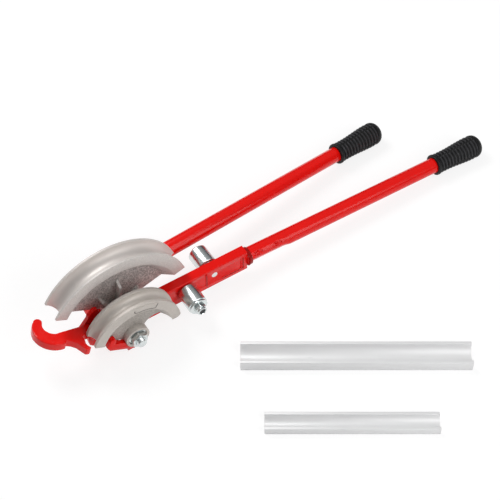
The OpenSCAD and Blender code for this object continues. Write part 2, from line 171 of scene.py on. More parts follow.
class Finish(Graph):
    """A material written on Object coordinates and ended by its Principled shader."""

    def __init__(self, name):
        self.material = bpy.data.materials.new(name)
        self.material.use_nodes = True
        super().__init__(self.material.node_tree)
        self.tree.nodes.clear()
        self.place = self.add("ShaderNodeTexCoord", out="Object")

    def bump(self, height, distance, strength):
        values = {"Strength": strength, "Distance": distance, "Height": height}
        return self.add("ShaderNodeBump", None, values)

    def done(self, colour, rough, metal, normal, **fixed):
        values = {"Base Color": colour, "Roughness": rough, "Metallic": metal, "Normal": normal}
        values.update({key.replace("_", " "): value for key, value in fixed.items()})
        shader = self.add("ShaderNodeBsdfPrincipled", None, values)
        self.add("ShaderNodeOutputMaterial", None, [shader])
        return self.material


def rgba(colour, gain=1.0):
    return tuple(min(1.0, c * gain) for c in colour[:3]) + (1.0,)


# ---------------------------------------------------------------- finishes


def cast_alloy(name, colour, node, bend_r, groove_r, grain):
    """Sand-cast alloy: rough grain, painted shade darkening the recessed web, and a turned, satin pipe groove."""
    groove_margin, groove_fade = 0.1 * MM, 0.9 * MM
    web_margin, web_fade = 9 * MM, 3 * MM
    lathe_lines = 4200.0
    f = Finish(name)
    low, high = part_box(node)
    middle = (low.y + high.y) / 2
    x, y, z = f.parts(f.place)
    z = z - PIVOT.z
    radius = f.math("SQRT", x * x + z * z)
    across = y - middle
    out = radius - bend_r
    from_pipe = f.math("SQRT", out * out + across * across)
    groove = 1.0 - f.step(from_pipe, groove_r + groove_margin, groove_r + groove_fade)
    half = (high.y - low.y) / 2
    deep = 1.0 - f.step(f.math("ABSOLUTE", across), half * 0.25, half * 0.98)
    web = deep * (1.0 - f.step(radius, bend_r - groove_r - web_margin, bend_r - groove_r - web_fade))
    coarse = f.noise(f.place, 260.0, 3.0, 0.6)
    fine = f.noise(f.place, 1300.0, 2.0, 0.7)
    turned = f.noise(f.vector(radius * lathe_lines, y * lathe_lines, 0.0), 1.0, 2.0, 0.6)
    blotch = f.noise(f.place, 38.0, 2.0, 0.5)
    pebble = f.step(f.noise(f.place, 620.0, 2.0, 0.75), 0.36, 0.64)
    shade = 0.74 + blotch * 0.18 + coarse * 0.18 + (fine - 0.5) * grain * 2.2
    # Painted shade: the web term darkens the recessed web between the rims; the pebble terms are its grain.
    shade = shade * (1.0 - web * 0.22) + (pebble - 0.5) * web * 0.5 * grain * 3.0 + (pebble - 0.5) * 0.05
    tone = f.blend(f.math("MINIMUM", shade, 1.0), BLACK, rgba(colour, 1.06))
    smooth = f.blend(0.88 + turned * 0.08 + blotch * 0.08, BLACK, rgba(colour, 1.10))
    height = coarse * 0.6 + fine * 0.4
    relief = (height + pebble * web * 0.8) * (1.0 - groove) + turned * 0.05 * groove
    return f.done(
        f.blend(groove, tone, smooth),
        0.54 + (coarse - 0.5) * 0.20 - groove * 0.08,
        0.28,
        f.bump(relief, 0.30 * MM, 0.9),
    )


def enamel(name, colour, peel=0.02, rough=0.26, coat=0.22):
    """Glossy enamel: faint orange peel, uneven depth of colour and slightly dusty gloss."""
    f = Finish(name)
    depth = f.noise(f.place, 26.0, 3.0, 0.55)
    ripple = f.noise(f.place, 210.0, 1.0, 0.4)
    tone = f.blend(depth, rgba(colour, 0.92), rgba(colour, 1.06))
    return f.done(
        tone,
        rough + (f.noise(f.place, 90.0, 2.0, 0.5) - 0.5) * 0.06,
        0.0,
        f.bump(ripple, peel * MM, 0.8),
        Specular_IOR_Level=0.14,
        Coat_Weight=coat,
        Coat_Roughness=0.15,
        Coat_IOR=1.38,
    )


def zinc(name, colour, rough, wear=0.0):
    """Bright zinc plate: turned lines round the pins' direction and a faint blue and straw cast."""
    f = Finish(name)
    x, y, z = f.parts(f.place)
    lines = f.noise(f.vector(x * 60.0, y * 5200.0, z * 60.0), 1.0, 2.0, 0.6)
    cast = f.noise(f.place, 120.0, 2.0, 0.5)
    tone = f.blend(cast, rgba(colour, 0.90), rgba((colour[0] * 1.05, colour[1] * 1.02, colour[2] * 0.93)))
    stain = f.step(f.noise(f.place, 420.0, 3.0, 0.65), 0.60, 0.80) * (0.25 + wear)
    return f.done(
        f.blend(stain, tone, rgba(colour, 0.45)),
        rough + lines * 0.12 + stain * 0.3,
        1.0,
        f.bump(lines, 0.02 * MM, 0.6),
    )


def rubber(name, colour):
    """Moulded rubber: dull, finely grained, with a slight bloom."""
    f = Finish(name)
    bloom = f.step(f.noise(f.place, 150.0, 3.0, 0.6), 0.45, 0.80)
    grain = f.noise(f.place, 2600.0, 2.0, 0.6)
    tone = f.blend(bloom, rgba(colour), rgba(colour, 2.1))
    return f.done(tone, 0.46 + bloom * 0.14 + grain * 0.08, 0.0, f.bump(grain, 0.05 * MM, 0.5),
                  Specular_IOR_Level=0.3)


def extruded(name, colour, along):
    """Extruded alloy: fine die lines that run along the bar, satin all over."""
    f = Finish(name)
    x, y, z = f.parts(f.place)
    length = x * along.x + y * along.y
    side = y * along.x - x * along.y
    lines = f.noise(f.vector(length * 3.0, side * 2600.0, z * 2600.0), 1.0, 3.0, 0.65)
    scuff = f.step(f.noise(f.vector(length * 45.0, side * 300.0, z * 300.0), 1.0, 3.0, 0.6), 0.62, 0.8)
    cloud = f.noise(f.place, 30.0, 2.0, 0.5)
    tone = f.blend(lines * 0.55 + cloud * 0.45, rgba(colour, 0.93), rgba(colour, 1.05))
    return f.done(
        f.blend(scuff * 0.35, tone, rgba(colour, 0.80)),
        0.42 + lines * 0.14 + scuff * 0.12,
        0.18,
        f.bump(lines, 0.03 * MM, 0.6),
    )


def plain_metal(name, colour, rough):
    """Bush and stud metal: turned, slightly stained."""
    f = Finish(name)
    x, y, z = f.parts(f.place)
    lines = f.noise(f.vector(x * 80.0, y * 4000.0, z * 80.0), 1.0, 2.0, 0.6)
    cloud = f.noise(f.place, 240.0, 3.0, 0.6)
    return f.done(f.blend(cloud, rgba(colour, 0.7), rgba(colour, 1.2)), rough + lines * 0.15, 0.9,
                  f.bump(lines, 0.02 * MM, 0.6))


# ---------------------------------------------------------------- shapes


def merged_copy(node):
    """A welded copy of a CAD node's mesh, its flat areas made whole again."""
    mesh = frame["nodes"][node].data.copy()
    mesh.materials.clear()
    build = bmesh.new()
    build.from_mesh(mesh)
    bmesh.ops.remove_doubles(build, verts=build.verts, dist=2e-6)
    bmesh.ops.dissolve_limit(build, angle_limit=math.radians(0.6), verts=build.verts, edges=build.edges)
    build.to_mesh(mesh)
    build.free()
    return mesh


def new_object(name, mesh, *materials):
    obj = bpy.data.objects.new(name, mesh)
    bpy.context.scene.collection.objects.link(obj)
    for material in materials:
        obj.data.materials.append(material)
    return obj


def applied(obj):
    """Turns an object and its modifiers into one plain mesh."""
    graph = bpy.context.evaluated_depsgraph_get()
    graph.update()
    mesh = bpy.data.meshes.new_from_object(
        obj.evaluated_get(graph), preserve_all_data_layers=True, depsgraph=graph
    )
    obj.modifiers.clear()
    old = obj.data
    obj.data = mesh
    bpy.data.meshes.remove(old)
    return obj


def shade(obj, angle):
    obj.data.shade_smooth()
    obj.data.set_sharp_from_angle(angle=math.radians(angle))
    return obj


def stands_for(obj, node):
    """The piece rides on its CAD node's body and is shown instead of it."""
    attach(obj, BODY_OF[node])
    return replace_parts(obj, node)


def bevelled(obj, width, segments, angle):
    """Rounds the edges that are sharper than an angle in degrees."""
    bevel = obj.modifiers.new("edges", "BEVEL")
    bevel.width, bevel.segments = width, segments
    bevel.limit_method, bevel.angle_limit = "ANGLE", math.radians(angle)
    bevel.use_clamp_overlap = True
    return bevel


def softened(node, name, width, material, edge=None, segments=2):
    """A CAD node's shape with its edges rounded, as a cast, pressed or turned piece has them."""
    obj = new_object(name, merged_copy(node), *([material, edge] if edge else [material]))
    bevel = bevelled(obj, width, segments, 30.0)
    bevel.miter_outer = "MITER_ARC"
    bevel.material = 1 if edge else -1
    shade(applied(obj), 40.0)
    return stands_for(obj, node)


def lathe(name, centre, rings, count, material, closed_ends=True):
    """A shell round the front-to-back direction: rings are (depth, radius or radius per angle)."""
    build = bmesh.new()
    turns = [2 * math.pi * k / count for k in range(count)]
    rows = []
    for depth, radius in rings:
        row = []
        for turn in turns:
            r = radius(turn) if callable(radius) else radius
            x, z = centre.x + r * math.cos(turn), centre.z + r * math.sin(turn)
            row.append(build.verts.new((x, -depth, z)))
        rows.append(row)
    for low, high in zip(rows, rows[1:]):
        for k in range(count):
            n = (k + 1) % count
            build.faces.new((low[k], high[k], high[n], low[n]))
    if closed_ends:
        build.faces.new(rows[0])
        build.faces.new(reversed(rows[-1]))
    else:
        for k in range(count):
            n = (k + 1) % count
            build.faces.new((rows[-1][k], rows[0][k], rows[0][n], rows[-1][n]))
    bmesh.ops.remove_doubles(build, verts=build.verts, dist=1e-7)
    bmesh.ops.recalc_face_normals(build, faces=build.faces)
    mesh = bpy.data.meshes.new(name)
    build.to_mesh(mesh)
    build.free()
    return shade(new_object(name, mesh, material), 28.0)


def hexagon(flats):
    """Distance from a hexagon's middle to its side, as a function of the angle."""
    sixth = math.pi / 3
    return lambda turn: (flats / 2) / math.cos(((turn + sixth / 2) % sixth) - sixth / 2)


def hexagon_rings(near, far, flats):
    """Rings of a hexagonal prism with its corners turned off at both ends."""
    slope, end_face = 0.58, 0.485
    side, tip = hexagon(flats), flats / math.sqrt(3)
    rings = []
    for share in (0.0, 0.25, 0.5, 0.75, 1.0):
        drop = (tip - flats / 2) * share
        rings.append((near + drop * slope, drop))
    full = [(depth, lambda turn, d=drop: min(side(turn), flats * end_face + d)) for depth, drop in rings]
    other = [(far - (depth - near), radius) for depth, radius in reversed(full)]
    return full + other


def thread_rings(near, far, radius, pitch, depth):
    """Rings of a screw thread whose crest climbs once round in one pitch and runs out at the end."""
    rings_per_turn, run_out, least = 6, 0.6, 0.25
    count = int((far - near) / pitch * rings_per_turn)
    rings = []
    for k in range(count + 1):
        at = near + (far - near) * k / count

        def cut(turn, at=at):
            phase = (at / pitch + turn / (2 * math.pi)) % 1.0
            fade = min(1.0, (far - at) / (run_out * pitch) + least)
            return radius - depth * abs(2 * phase - 1) * fade - depth * (1 - fade)

        rings.append((at, cut))
    return rings


def axis_of(node, towards):
    """Centre and direction of a long round CAD node, pointing to another node."""
    mesh = merged_copy(node)
    points = np.array([v.co for v in mesh.vertices])
    bpy.data.meshes.remove(mesh)
    centre = points.mean(0)
    direction = np.linalg.svd(points - centre, full_matrices=False)[2][0]
    low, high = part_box(towards)
    if (np.array((low + high) / 2) - centre) @ direction < 0:
        direction = -direction
    along = (points - centre) @ direction
    start = Vector(centre + direction * along.min())
    return start, Vector(direction), float(along.max() - along.min())


def reach_along(node, start, direction):
    """Where a CAD node begins and ends along a line, and how far it reaches from it."""
    mesh = merged_copy(node)
    offsets = [v.co - start for v in mesh.vertices]
    bpy.data.meshes.remove(mesh)
    along = [o.dot(direction) for o in offsets]
    return min(along), max(along), max((o - direction * a).length for o, a in zip(offsets, along))


def lever_line():
    """A point on the lever tube's axis and its direction towards the grip."""
    start, direction, _ = axis_of("lever_grip", "lever_collar")
    return start, -direction


def smoothstep(value, low, high):
    """0 below low and 1 above high, turning smoothly between them."""
    share = min(1.0, max(0.0, (value - low) / (high - low)))
    return share * share * (3 - 2 * share)


def shell(name, rings):
    """A closed mesh through rings of points, all with the same number of points."""
    build = bmesh.new()
    rows = [[build.verts.new(point) for point in ring] for ring in rings]
    for low, high in zip(rows, rows[1:]):
        for k in range(len(low)):
            n = (k + 1) % len(low)
            build.faces.new((low[k], low[n], high[n], high[k]))
    build.faces.new(list(reversed(rows[0])))
    build.faces.new(rows[-1])
    bmesh.ops.recalc_face_normals(build, faces=build.faces)
    mesh = bpy.data.meshes.new(name)
    build.to_mesh(mesh)
    build.free()
    return mesh


def set_inputs(modifier, values):
    """Gives the inputs of a modifier's geometry tree their values, by name."""
    for item in modifier.node_group.interface.items_tree:
        if item.in_out == "INPUT" and item.name in values:
            modifier[item.identifier] = values[item.name]


def pressed(points, width, height, material):
    """A swept line along points: it stands proud by height and is as wide as width."""
    mesh = bpy.data.meshes.new("path")
    mesh.from_pydata(points, [(k, k + 1) for k in range(len(points) - 1)], [])
    obj = new_object("pressed", mesh)
    modifier = obj.modifiers.new("press", "NODES")
    modifier.node_group = bpy.data.node_groups.get("pressed_line") or press_tree()
    set_inputs(modifier, {"Width": width, "Height": height, "Material": material})
    return applied(obj)


def join(pieces, name):
    """One mesh object from several, with their places already in their meshes."""
    build = bmesh.new()
    materials = []
    for obj in pieces:
        material = obj.data.materials[0]
        if material not in materials:
            materials.append(material)
        before = len(build.faces)
        build.from_mesh(obj.data)
        build.faces.ensure_lookup_table()
        for face in build.faces[before:]:
            face.material_index = materials.index(material)
    mesh = bpy.data.meshes.new(name)
    build.to_mesh(mesh)
    build.free()
    for obj in pieces:
        bpy.data.objects.remove(obj)
    return new_object(name, mesh, *materials)


def turned_to(direction):
    return direction.to_track_quat("Z", "Y").to_matrix().to_4x4()


# ---------------------------------------------------------------- geometry-node trees


def node_group(name, inputs):
    """An empty geometry tree with named inputs; returns the tree, its graph and the input sockets."""
    tree = bpy.data.node_groups.new(name, "GeometryNodeTree")
    for label, kind, default in inputs:
        socket = tree.interface.new_socket(name=label, in_out="INPUT", socket_type=kind)
        if default is not None:
            socket.default_value = default
    tree.interface.new_socket(name="Geometry", in_out="OUTPUT", socket_type="NodeSocketGeometry")
    graph = Graph(tree)
    entry = tree.nodes.new("NodeGroupInput")
    given = {label: Sock(graph, entry.outputs[label]) for label, _, _ in inputs}
    return tree, graph, given


def close_group(graph, geometry, material):
    """Ends a tree in Realize Instances and Set Material."""
    real = graph.add("GeometryNodeRealizeInstances", None, {"Geometry": geometry})
    shown = graph.add("GeometryNodeSetMaterial", None, {"Geometry": real, "Material": material})
    graph.add("NodeGroupOutput", None, [shown])


def grown(name, tree, values, matrix):
    """The tree's result as a plain mesh object, put in place by a matrix."""
    obj = new_object(name, bpy.data.meshes.new(name))
    modifier = obj.modifiers.new("grow", "NODES")
    modifier.node_group = tree
    set_inputs(modifier, values)
    applied(obj)
    obj.data.transform(matrix)
    return obj


def swept_oval(g, curve, x_radius, y_radius):
    """An oval swept along a curve, with its ends closed."""
    ring = g.add("GeometryNodeCurvePrimitiveCircle", {"mode": "RADIUS"}, {"Resolution": 10, "Radius": 1.0})
    profile = g.add("GeometryNodeTransform", None,
                    {"Geometry": ring, "Scale": g.vector(x_radius, y_radius, 1.0)})
    return g.add("GeometryNodeCurveToMesh", None,
                 {"Curve": curve, "Profile Curve": profile, "Fill Caps": True})


def rib_tree():
    """Rings of raised rubber along Z, each broken by four plain strips, that follow the grip's waist."""
    tree, g, given = node_group("grip_ribs", [
        ("Count", "NodeSocketInt", 14),
        ("First", "NodeSocketFloat", 0.008),
        ("Pitch", "NodeSocketFloat", 0.0046),
        ("Width", "NodeSocketFloat", 0.003),
        ("Height", "NodeSocketFloat", 0.0012),
        ("Waist", "NodeSocketFloat", 0.013),
        ("Bulge", "NodeSocketFloat", 0.0155),
        ("Waist End", "NodeSocketFloat", 0.019),
        ("Bulge Start", "NodeSocketFloat", 0.057),
        ("Taper", "NodeSocketFloat", 0.001),
        ("Taper Start", "NodeSocketFloat", 0.059),
        ("Taper End", "NodeSocketFloat", 0.069),
        ("Strip Angle", "NodeSocketFloat", 0.2),
        ("Material", "NodeSocketMaterial", None),
    ])
    start = g.vector(0.0, 0.0, given["First"])
    offset = g.vector(0.0, 0.0, given["Pitch"])
    line = g.add("GeometryNodeMeshLine", {"mode": "OFFSET"},
                 {"Count": given["Count"], "Start Location": start, "Offset": offset})
    arcs = g.tree.nodes.new("GeometryNodeJoinGeometry")
    sweep = math.pi / 2 - given["Strip Angle"]
    for quarter in range(4):
        arc = g.add("GeometryNodeCurveArc", {"mode": "RADIUS"}, {
            "Resolution": 18, "Radius": 1.0, "Sweep Angle": sweep,
            "Start Angle": quarter * math.pi / 2 + given["Strip Angle"] * 0.5,
        })
        g.tree.links.new(arc.socket, arcs.inputs[0])
    along = g.parts(g.add("GeometryNodeInputPosition"))[2]
    swell = (given["Bulge"] - given["Waist"]) * g.step(along, given["Waist End"], given["Bulge Start"])
    taper = given["Taper"] * g.step(along, given["Taper Start"], given["Taper End"])
    size = given["Waist"] + swell - given["Height"] - taper
    ribs = g.add("GeometryNodeInstanceOnPoints", None, {
        "Points": line, "Instance": Sock(g, arcs.outputs[0]), "Scale": g.vector(size, size, 1.0),
    })
    real = g.add("GeometryNodeRealizeInstances", None, {"Geometry": ribs})
    close_group(g, swept_oval(g, real, given["Height"], given["Width"] * 0.5), given["Material"])
    return tree


def bead_tree():
    """A weld bead round Z: overlapping ripples on a ring, of slightly mixed sizes from a fixed seed."""
    tree, g, given = node_group("weld_bead", [
        ("Ring Radius", "NodeSocketFloat", 0.0115),
        ("Ripple", "NodeSocketFloat", 0.0016),
        ("Count", "NodeSocketInt", 46),
        ("Seed", "NodeSocketInt", 7),
        ("Material", "NodeSocketMaterial", None),
    ])
    ring = g.add("GeometryNodeCurvePrimitiveCircle", {"mode": "RADIUS"},
                 {"Resolution": 96, "Radius": given["Ring Radius"]})
    spots = g.tree.nodes.new("GeometryNodeCurveToPoints")
    spots.mode = "COUNT"
    g.put(spots.inputs["Curve"], ring)
    g.put(spots.inputs["Count"], given["Count"])
    drop = g.add("GeometryNodeMeshUVSphere", None, {"Segments": 12, "Rings": 7, "Radius": given["Ripple"]})
    spread = g.add("FunctionNodeRandomValue", {"data_type": "FLOAT"},
                   {2: 0.85, 3: 1.15, "Seed": given["Seed"]}, 1)
    beads = g.add("GeometryNodeInstanceOnPoints", None, {
        "Points": Sock(g, spots.outputs["Points"]), "Instance": drop,
        "Scale": g.vector(spread, spread, 1.1),
    })
    close_group(g, beads, given["Material"])
    return tree


def press_tree():
    """A pressed line: a low rounded ridge swept along a drawn path, also used for dark lines of painted shadow."""
    tree, g, given = node_group("pressed_line", [
        ("Path", "NodeSocketGeometry", None),
        ("Width", "NodeSocketFloat", 0.0012),
        ("Height", "NodeSocketFloat", 0.0004),
        ("Material", "NodeSocketMaterial", None),
    ])
    curve = g.add("GeometryNodeMeshToCurve", None, {"Mesh": given["Path"]})
    soft = g.add("GeometryNodeFilletCurve", {"mode": "POLY"}, {"Curve": curve, "Count": 5, "Radius": 0.0015})
    close_group(g, swept_oval(g, soft, given["Width"] * 0.5, given["Height"]), given["Material"])
    return tree


# ---------------------------------------------------------------- settings


def colour(name, description, default):
    return FloatVectorProperty(name=name, description=description, subtype="COLOR",
                               size=3, min=0, max=1, default=default)


def length(name, description, default, low, high):
    return FloatProperty(name=name, description=description, unit="LENGTH",
                         default=default, min=low, max=high)


class BenderPaint(bpy.types.PropertyGroup):
    enamel: colour("Enamel", "Colour of the red enamel", (0.84, 0.005, 0.0025))
    alloy_22: colour("Large former", "Colour of the large former's casting", (0.69, 0.645, 0.615))
    alloy_15: colour("Small former", "Colour of the small former's casting", (0.60, 0.555, 0.51))
    zinc: colour("Zinc", "Colour of the zinc plate", (0.73, 0.79, 0.83))
    rubber: colour("Rubber", "Colour of the grips", (0.011, 0.011, 0.012))
    guide: colour("Guides", "Colour of the extruded guides", (0.84, 0.842, 0.845))


class BenderSizes(bpy.types.PropertyGroup):
    cast_edge: length("Casting edge", "Rounding of the formers' edges", 0.0007, 0.0001, 0.002)
    press_edge: length("Pressed edge", "Rounding of the handle plate", 0.0006, 0.0001, 0.002)
    groove_22: length("Large groove", "Radius of the large former's groove", 0.0112, 0.005, 0.02)
    groove_15: length("Small groove", "Radius of the small former's groove", 0.0077, 0.004, 0.015)
    bend_22: length("Large bend", "Bend radius of the large former", 0.092, 0.05, 0.15)
    bend_15: length("Small bend", "Bend radius of the small former", 0.0573, 0.03, 0.1)
    rib_count: IntProperty(name="Ribs", description="Number of rings on each grip", default=13, min=4, max=24)
    rib_height: length("Rib height", "How far the rings stand out", 0.0019, 0.0003, 0.003)
    forging: length("Forging", "Grid on which the hook's forging is rounded", 0.0007, 0.0004, 0.002)


class BenderStage(bpy.types.PropertyGroup):
    key: FloatProperty(name="Key lamp", description="Power of the lamp behind the tool", unit="POWER",
                       default=13.0, min=0, max=500)
    fill: FloatProperty(name="Fill lamp", description="Power of the lamp in front of the tool", unit="POWER",
                        default=12.0, min=0, max=500)
    sky: FloatProperty(name="Sky", description="Strength of the soft light from all round",
                       default=0.36, min=0, max=3)
    lift: FloatProperty(name="Floor lift", description="How much of the floor's own white the camera sees",
                        subtype="FACTOR", default=0.72, min=0, max=1)


class BenderLooks(bpy.types.PropertyGroup):
    paint: PointerProperty(type=BenderPaint, name="Paint", description="Colours")
    sizes: PointerProperty(type=BenderSizes, name="Sizes", description="Small sizes")
    stage: PointerProperty(type=BenderStage, name="Stage", description="Lamps and floor")


def looks():
    return bpy.context.scene.tube_bender


# ---------------------------------------------------------------- operators


class BENDER_OT_formers(bpy.types.Operator):
    """Cast formers with rounded edges, a grainy web and a satin groove"""

    bl_idname = "bender.formers"
    bl_label = "Formers"

    def execute(self, context):
        paint, sizes = looks().paint, looks().sizes
        edge_gain, edge_limit, edge_grain = 1.35, 0.9, 0.5
        line_shade, line_grain = 0.22, 0.1
        for node, colour, bend, groove, grain in (
            ("former_22", paint.alloy_22, sizes.bend_22, sizes.groove_22, 0.30),
            ("former_15", paint.alloy_15, sizes.bend_15, sizes.groove_15, 0.12),
        ):
            body = cast_alloy(node + "_casting", colour, node, bend, groove, grain)
            # Painted highlight: the bevelled edges get a lighter copy of the casting colour.
            edge_highlight_colour = [min(edge_limit, c * edge_gain) for c in colour]
            edge = cast_alloy(node + "_edge", edge_highlight_colour, node, bend, groove, grain * edge_grain)
            softened(node, node + "_cast", sizes.cast_edge, body, edge)
        # Painted shadow: a dark copy of the small former's casting for the line round its panel.
        dark = cast_alloy("panel_line", [c * line_shade for c in paint.alloy_15], "former_15",
                          sizes.bend_15, sizes.groove_15, line_grain)
        self.panel_line(dark, sizes.bend_15)
        return {"FINISHED"}

    def panel_line(self, dark, bend):
        """A painted shadow along the step round the small former's bare panel: a dark line on its lower edge and
        both ends.
        """
        sunk, width, height = 0.42 * MM, 1.6 * MM, 0.40 * MM
        below_rim, rim, corner, short = 10.4 * MM, 3.2 * MM, 1.5 * MM, 3 * MM
        first, last = 57.4, 90.6
        arc_from, arc_sweep, arc_steps = 58.5, 31, 24
        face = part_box("former_15")[0].y + sunk
        inner, outer = bend - below_rim, bend - rim
        path = [(outer, first), (inner + corner, first)]
        path += [(inner, arc_from + arc_sweep * k / arc_steps) for k in range(arc_steps + 1)]
        path += [(inner + corner, last), (outer - short, last)]
        points = [(PIVOT.x + r * math.cos(math.radians(a)), face, PIVOT.z + r * math.sin(math.radians(a)))
                  for r, a in path]
        line = shade(pressed(points, width, height, dark), 60.0)
        line.name = "former_15_panel_line"
        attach(line, BODY_OF["former_15"])


class BENDER_OT_steelwork(bpy.types.Operator):
    """Red bracket, handle plate, channel with its pressed lines, and hook pin"""

    bl_idname = "bender.steelwork"
    bl_label = "Bracket, plate and channel"

    def execute(self, context):
        paint, sizes = looks().paint, looks().sizes
        red = enamel("red_enamel", paint.enamel)
        for node, width in (("stop_bracket", 0.9 * MM), ("handle_plate", sizes.press_edge),
                            ("lever_channel", 0.5 * MM), ("hook_pin", 0.4 * MM)):
            softened(node, node + "_painted", width, red)
        self.pressed_lines(red)
        return {"FINISHED"}

    def pressed_lines(self, red):
        """One upright line, and a double line that turns along the channel's lower edge."""
        proud, web_below_pivot, dark_share = 0.05 * MM, 13.6 * MM, 0.22
        upright_at, upright_top, upright_foot = 58.4 * MM, 4 * MM, 6 * MM
        double_top, double_length = 6 * MM, 38 * MM
        # groove holds the width and height of the dark line of painted shadow beside the ridges.
        ridge, groove, shadow_shift = (1.5 * MM, 0.75 * MM), (1.2 * MM, 0.6 * MM), 1.2 * MM
        low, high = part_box("lever_channel")
        face = low.y + proud
        end, top, bottom = high.x, high.z, PIVOT.z - web_below_pivot
        paths = [[(end - upright_at, top - upright_top), (end - upright_at, bottom + upright_foot)]]
        for inset, rise in ((7 * MM, 7 * MM), (5.2 * MM, 4.6 * MM)):
            paths.append([(end - inset, top - double_top), (end - inset, bottom + rise),
                          (end - double_length, bottom + rise)])
        # Painted shadow: a dark enamel line beside the first two pressed lines, moved right and down from each
        # ridge.
        shadow = enamel("pressed_shade", [c * dark_share for c in looks().paint.enamel])
        pieces = [pressed([(x, face, z) for x, z in path], *ridge, red) for path in paths]
        pieces += [pressed([(x + shadow_shift, face, z - shadow_shift) for x, z in path], *groove, shadow)
                   for path in paths[:2]]
        whole = join(pieces, "lever_channel_pressed_lines")
        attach(shade(whole, 50.0), BODY_OF["lever_channel"])


class BENDER_OT_tubes(bpy.types.Operator):
    """Handle tubes, and the weld bead where the lever's tube meets its channel"""

    bl_idname = "bender.tubes"
    bl_label = "Tubes and weld"

    def execute(self, context):
        paint = looks().paint
        weld_shade, bead_back, bead_sunk = 0.42, 0.9 * MM, 2.0 * MM
        red = enamel("tube_enamel", paint.enamel, peel=0.004, rough=0.24, coat=0.45)
        softened("fixed_handle_tube", "fixed_handle_tube_painted", 0.4 * MM, red)
        dark = enamel("weld_enamel", [c * weld_shade for c in paint.enamel], peel=0.4, rough=0.34)
        softened("lever_collar", "lever_collar_weld", 0.5 * MM, dark)
        start, direction = lever_line()
        _, far, radius = reach_along("lever_collar", start, direction)
        place = Matrix.Translation(start + direction * (far - bead_back)) @ turned_to(direction)
        bead = grown("lever_weld_bead", bead_tree(), {
            "Ring Radius": radius - bead_sunk, "Ripple": 1.3 * MM, "Count": 52, "Material": dark,
        }, place)
        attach(shade(bead, 60.0), BODY_OF["lever_collar"])
        self.pressed_tube(start, direction, red)
        return {"FINISHED"}

    def pressed_tube(self, start, direction, red):
        """The lever's tube, with its flattened lower front, the two humps over it and their punch marks."""
        near, far, _ = reach_along("lever_tube", start, direction)
        joint = reach_along("lever_collar", start, direction)[1]
        lead, spacing, pressed_rows, plain_rows, count = 2 * MM, 0.5 * MM, 136, 40, 180
        up = direction.cross(Vector((0, 1, 0))).normalized()
        up = up if up.z > 0 else -up
        front = up.cross(direction)
        front = front if front.y < 0 else -front
        rows = [near] + [joint - lead + k * spacing for k in range(pressed_rows)]
        rows += [rows[-1] + (far - rows[-1]) * k / plain_rows for k in range(1, plain_rows + 1)]
        rings = []
        for along in rows:
            ring = []
            for k in range(count):
                turn = 360.0 * k / count - 180.0
                r = TUBE_RADIUS - self.pressed_depth(along - joint, turn)
                a = math.radians(turn)
                ring.append(start + direction * along + (front * math.cos(a) + up * math.sin(a)) * r)
            rings.append(ring)
        mesh = shell("lever_tube_pressed", rings)
        stands_for(shade(new_object("lever_tube_painted", mesh, red), 60.0), "lever_tube")

    def pressed_depth(self, along, turn):
        """How deep the tube is pressed in: turn is in degrees up from the front."""
        flat_top, hump_rise, edge_fade = 34.0, 26.0, 9
        under_from, under_full, mark_turn = -75, -30, 30.0
        flat_depth, rim_height = 2.0 * MM, 1.0 * MM
        run_in, fade_from, fade_to = 1.5 * MM, 46 * MM, 58 * MM
        # Each hump: its place along the tube, half its length and the radius of its punch mark.
        humps = ((9 * MM, 7.5 * MM, 3.6 * MM), (37 * MM, 7.0 * MM, 2.6 * MM))
        top = flat_top
        for middle, half, _ in humps:
            top += hump_rise * math.sqrt(max(0.0, 1 - ((along - middle) / half) ** 2))
        depth = flat_depth * (1 - smoothstep(turn, top - edge_fade, top))
        depth *= smoothstep(turn, under_from, under_full)
        for middle, _, mark in humps:
            off = math.hypot(along - middle, math.radians(turn - mark_turn) * TUBE_RADIUS) / mark
            depth -= rim_height * smoothstep(off, 0.45, 0.75) * (1 - smoothstep(off, 0.8, 1.1))
        return max(0.0, depth) * smoothstep(along, 0.0, run_in) * (1 - smoothstep(along, fade_from, fade_to))


